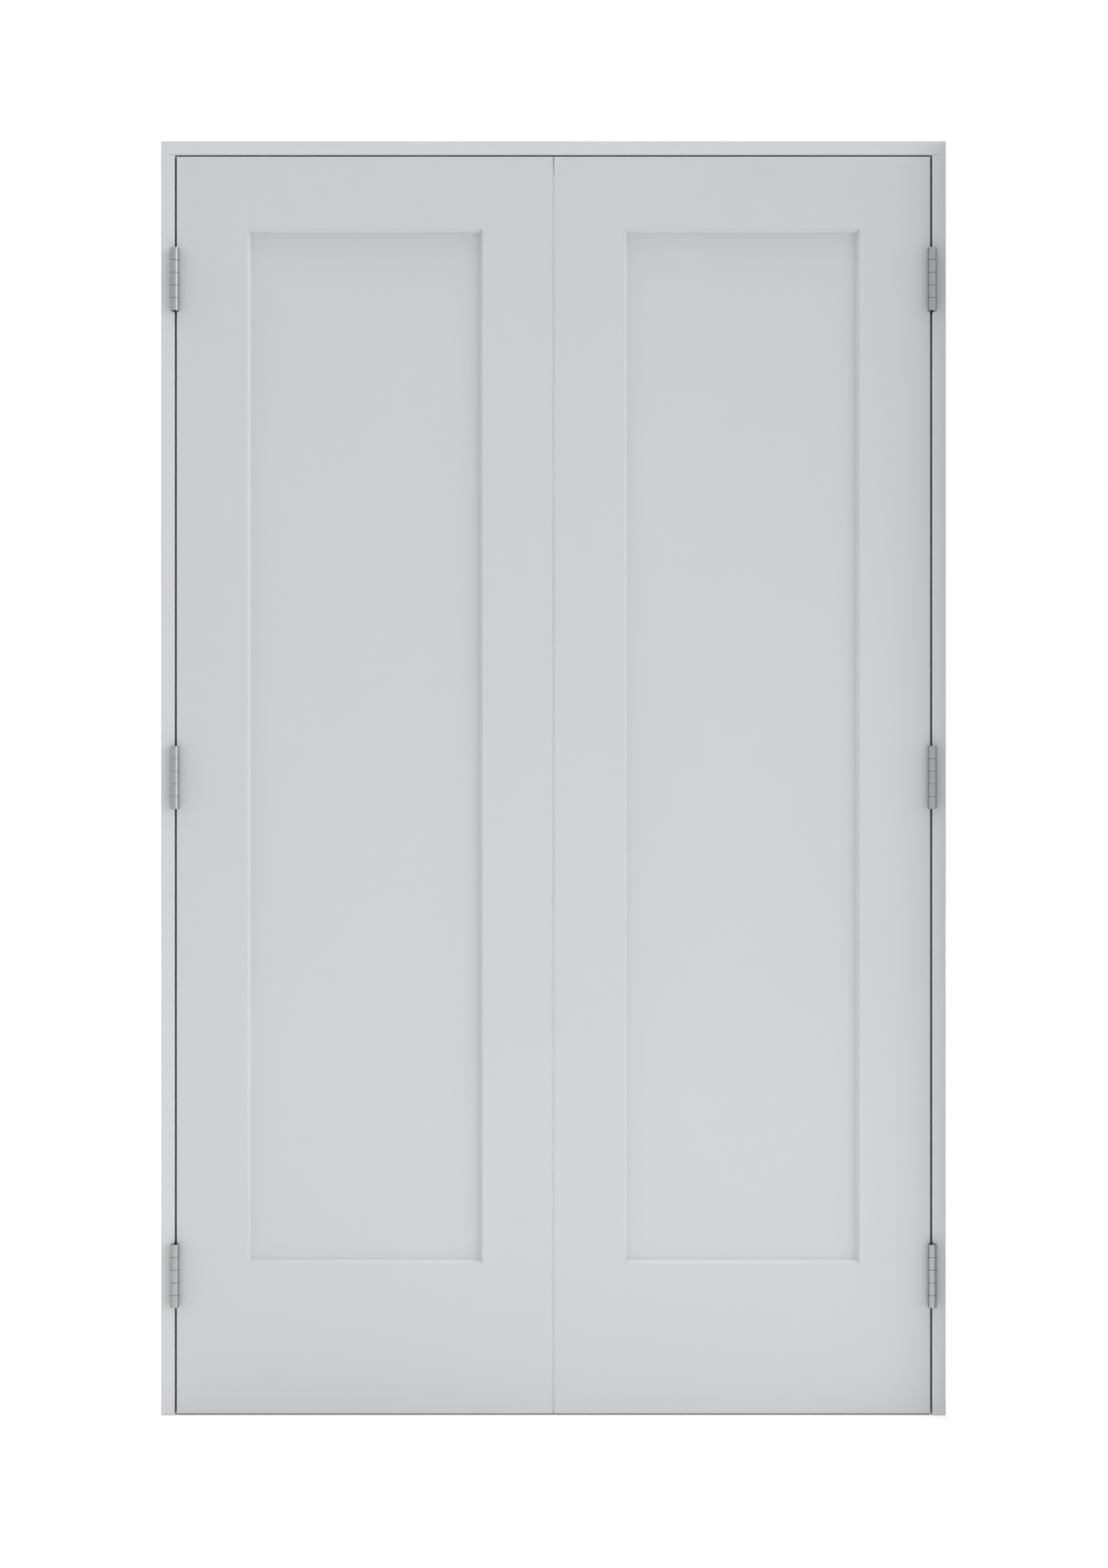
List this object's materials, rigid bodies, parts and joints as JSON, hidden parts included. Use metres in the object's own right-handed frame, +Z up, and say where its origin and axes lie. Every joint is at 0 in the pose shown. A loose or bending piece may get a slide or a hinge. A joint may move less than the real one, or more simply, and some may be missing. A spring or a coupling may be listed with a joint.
{
  "type": "french doors",
  "caption": "Double doors with flat recessed panels, hung on butt hinges in a wooden frame with stops; the leaves meet in the middle and swing outwards.",
  "frame": {"origin": "on the floor, at the middle of the doorway's width and of the frame's depth", "axes": "+Z up along the jambs; +Y through the doorway, away from the side the leaves open to; +X across the doorway, to the right of someone facing the hinge side"},
  "size_m": [1.2692, 0.131, 2.0599],
  "materials": {
    "painted_leaf": "smooth pale grey-white factory primer on wood",
    "painted_frame": "pale grey-white factory primer on finger-jointed wood",
    "satin_nickel": "satin nickel plate on steel"
  },
  "bodies": {
    "frame": {"head_jamb": "painted_frame", "head_stop": "painted_frame", "left_jamb": "painted_frame", "right_jamb": "painted_frame", "left_stop": "painted_frame", "right_stop": "painted_frame", "left_jamb_hinge_plates": "satin_nickel", "right_jamb_hinge_plates": "satin_nickel", "left_hinge_pins": "satin_nickel", "right_hinge_pins": "satin_nickel"},
    "left_door": {"left_hinge_stile": "painted_leaf", "left_meeting_stile": "painted_leaf", "left_top_rail": "painted_leaf", "left_bottom_rail": "painted_leaf", "left_panel": "painted_leaf", "left_leaf_hinge_plates": "satin_nickel"},
    "right_door": {"right_hinge_stile": "painted_leaf", "right_meeting_stile": "painted_leaf", "right_top_rail": "painted_leaf", "right_bottom_rail": "painted_leaf", "right_panel": "painted_leaf", "right_leaf_hinge_plates": "satin_nickel"}
  },
  "joints": [
    {"name": "left_door_swing", "type": "hinge", "parent": "frame", "child": "left_door", "pos_m": [-0.61145, -0.0658, 1.031], "axis": [0, 0, -1], "range_deg": [0, 170]},
    {"name": "right_door_swing", "type": "hinge", "parent": "frame", "child": "right_door", "pos_m": [0.61145, -0.0658, 1.031], "axis": [0, 0, 1], "range_deg": [0, 170]}
  ]
}
